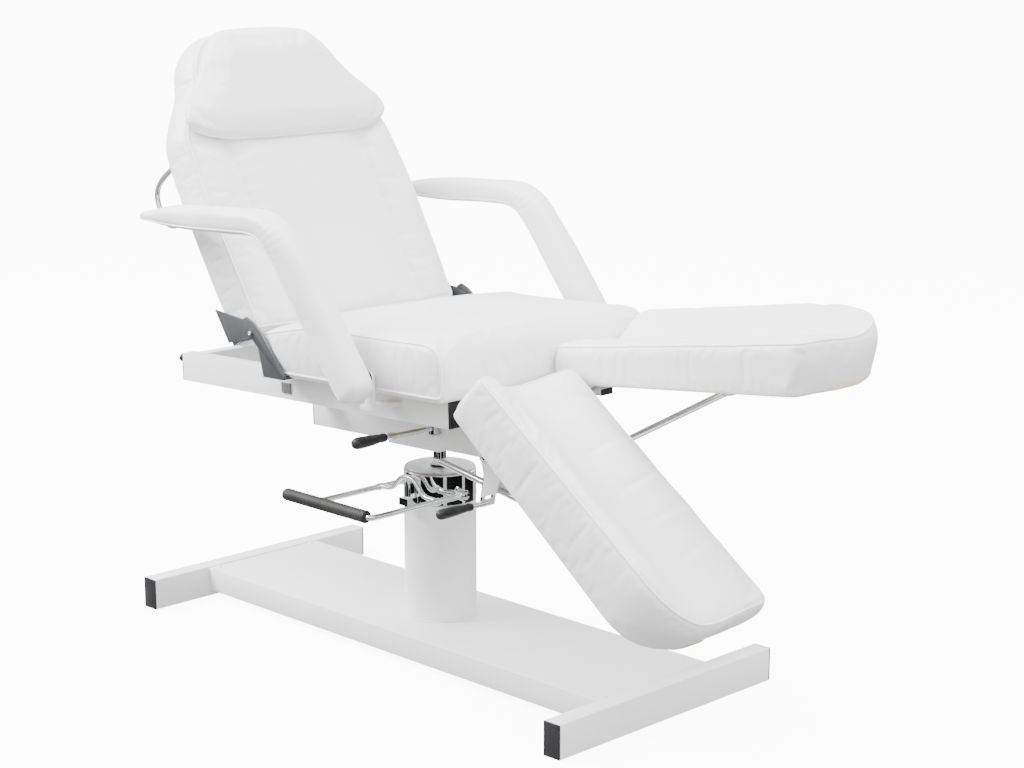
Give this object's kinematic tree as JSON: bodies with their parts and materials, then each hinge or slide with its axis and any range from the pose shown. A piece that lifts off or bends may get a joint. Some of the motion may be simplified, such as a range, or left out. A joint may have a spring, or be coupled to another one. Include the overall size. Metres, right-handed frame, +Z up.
{
  "type": "facial treatment bed",
  "caption": "Hydraulic treatment bed: padded reclining back with pillow, seat, split hinged leg rests and swinging armrests on a swivelling, foot-pumped column.",
  "frame": {"origin": "on the floor, under the middle of the overall length and width; the pump column stands 137 mm behind it", "axes": "+X towards the feet, +Y towards the far side, +Z up"},
  "size_m": [1.4476, 0.696, 1.1559],
  "materials": {
    "white_paint": "gloss white powder coat",
    "white_leather": "soft satin white artificial leather",
    "chrome": "polished chrome",
    "grey_steel": "bare machined steel",
    "black_plastic": "matt black moulded plastic",
    "grey_plastic": "mid grey moulded plastic",
    "black_rubber": "matt black rubber",
    "black_steel": "satin black paint",
    "plywood": "raw plywood",
    "back_cloth": "black dust cover cloth over board"
  },
  "bodies": {
    "base": {"base_deck": "white_paint", "base_crossbar_head": "white_paint", "base_crossbar_foot": "white_paint", "base_cap_head_near": "black_plastic", "base_cap_head_far": "black_plastic", "base_cap_foot_near": "black_plastic", "base_cap_foot_far": "black_plastic", "column_shroud": "white_paint", "pump_collar": "chrome", "pump_cap": "grey_steel", "pump_reservoir": "grey_steel"},
    "pedal": {"pedal_frame": "chrome", "pedal_sleeve": "black_rubber"},
    "plunger": {"pump_plunger": "chrome"},
    "piston": {"piston_rod": "chrome"},
    "frame": {"mount_beam": "white_paint", "mount_beam_cap": "black_plastic", "cross_member_rear": "white_paint", "cross_member_front": "white_paint", "rail_near": "white_paint", "rail_far": "white_paint", "rail_cap_front_near": "black_plastic", "rail_cap_front_far": "black_plastic", "rail_cap_rear_near": "black_plastic", "rail_cap_rear_far": "black_plastic", "rail_plug_near": "grey_plastic", "rail_plug_far": "grey_plastic", "frame_rear_bar": "white_paint", "frame_front_bar": "white_paint", "seat_board": "plywood", "seat_cushion": "white_leather", "seat_hinge_plate_near": "black_steel", "seat_hinge_plate_far": "black_steel"},
    "backrest": {"back_frame": "black_steel", "back_board": "back_cloth", "back_cushion": "white_leather", "head_pillow": "white_leather", "back_handle_near": "chrome", "back_handle_far": "chrome"},
    "back_strut": {"back_strut": "chrome"},
    "armrest_near": {"armrest_pad_near": "white_leather", "armrest_core_near": "chrome"},
    "armrest_far": {"armrest_pad_far": "white_leather", "armrest_core_far": "chrome"},
    "leg_near": {"leg_board_near": "plywood", "leg_cushion_near": "white_leather", "leg_bracket_near": "grey_steel"},
    "leg_far": {"leg_board_far": "plywood", "leg_cushion_far": "white_leather", "leg_bracket_far": "grey_steel"},
    "leg_strut_near": {"leg_strut_near": "chrome"},
    "leg_strut_far": {"leg_strut_far": "chrome"},
    "leg_release_near": {"leg_release_near": "chrome", "leg_release_grip_near": "black_plastic"},
    "leg_release_far": {"leg_release_far": "chrome", "leg_release_grip_far": "black_plastic"},
    "back_release": {"back_release_lever": "chrome", "back_release_grip": "black_plastic"},
    "swivel_lock": {"swivel_lock_lever": "chrome", "swivel_lock_grip": "black_plastic"}
  },
  "joints": [
    {"name": "pedal_press", "type": "hinge", "parent": "base", "child": "pedal", "pos_m": [-0.137, -0.014, 0.307], "axis": [1, 0, 0], "range_deg": [0, 20], "stiffness_Nm_per_rad": 15, "springref_deg": -20.05},
    {"name": "plunger_travel", "type": "slide", "parent": "base", "child": "plunger", "axis": [0, 0, -1], "range_m": [0, 0.024]},
    {"name": "height_lift", "type": "slide", "parent": "base", "child": "piston", "axis": [0, 0, 1], "range_m": [-0.03, 0.12]},
    {"name": "swivel", "type": "hinge", "parent": "piston", "child": "frame", "pos_m": [-0.137, 0, 0.3884], "axis": [0, 0, 1], "continuous": true},
    {"name": "back_recline", "type": "hinge", "parent": "frame", "child": "backrest", "pos_m": [-0.349, 0, 0.60957], "axis": [0, 1, 0], "range_deg": [-55, 14]},
    {"name": "back_strut_pivot", "type": "hinge", "parent": "backrest", "child": "back_strut", "pos_m": [-0.46818, 0, 0.58463], "axis": [0, 1, 0], "range_deg": [-7.2, 27.7]},
    {"name": "leg_near_tilt", "type": "hinge", "parent": "frame", "child": "leg_near", "pos_m": [0.14867, -0.13, 0.53029], "axis": [0, -1, 0], "range_deg": [-15, 44.1]},
    {"name": "leg_far_tilt", "type": "hinge", "parent": "frame", "child": "leg_far", "pos_m": [0.14867, 0.13, 0.53029], "axis": [0, -1, 0], "range_deg": [-59.1, 0]},
    {"name": "leg_strut_near_pivot", "type": "hinge", "parent": "leg_near", "child": "leg_strut_near", "pos_m": [0.39545, -0.13, 0.33939], "axis": [0, -1, 0], "range_deg": [-5.4, 1.9]},
    {"name": "leg_strut_far_pivot", "type": "hinge", "parent": "leg_far", "child": "leg_strut_far", "pos_m": [0.45874, 0.13, 0.56494], "axis": [0, -1, 0], "range_deg": [-0.1, 7.2]},
    {"name": "armrest_near_swing", "type": "hinge", "parent": "frame", "child": "armrest_near", "pos_m": [-0.02201, -0.318, 0.57536], "axis": [0, 1, 0], "range_deg": [-50, 70]},
    {"name": "armrest_far_swing", "type": "hinge", "parent": "frame", "child": "armrest_far", "pos_m": [-0.02201, 0.318, 0.57536], "axis": [0, 1, 0], "range_deg": [-50, 70]},
    {"name": "leg_release_near_pull", "type": "hinge", "parent": "frame", "child": "leg_release_near", "pos_m": [0.14127, -0.13, 0.43828], "axis": [0, 1, 0], "range_deg": [0, 8], "stiffness_Nm_per_rad": 2.5},
    {"name": "leg_release_far_pull", "type": "hinge", "parent": "frame", "child": "leg_release_far", "pos_m": [0.14127, 0.13, 0.43828], "axis": [0, 1, 0], "range_deg": [0, 8], "stiffness_Nm_per_rad": 2.5},
    {"name": "back_release_pull", "type": "hinge", "parent": "frame", "child": "back_release", "pos_m": [-0.65714, -0.055, 0.48214], "axis": [0, -1, 0], "range_deg": [0, 10], "stiffness_Nm_per_rad": 3, "springref_deg": -8.59},
    {"name": "swivel_lock_swing", "type": "hinge", "parent": "frame", "child": "swivel_lock", "pos_m": [-0.0764, -0.072, 0.44238], "axis": [-0.0349, 0, 0.9994], "range_deg": [-12, 12]}
  ],
  "couplings": [
    {"joint": "plunger_travel", "follows": "pedal_press", "m_per_rad": 0.0665},
    {"joint": "back_strut_pivot", "follows": "back_recline", "ratio": -0.5},
    {"joint": "leg_strut_near_pivot", "follows": "leg_near_tilt", "ratio": -0.12},
    {"joint": "leg_strut_far_pivot", "follows": "leg_far_tilt", "ratio": -0.12}
  ]
}
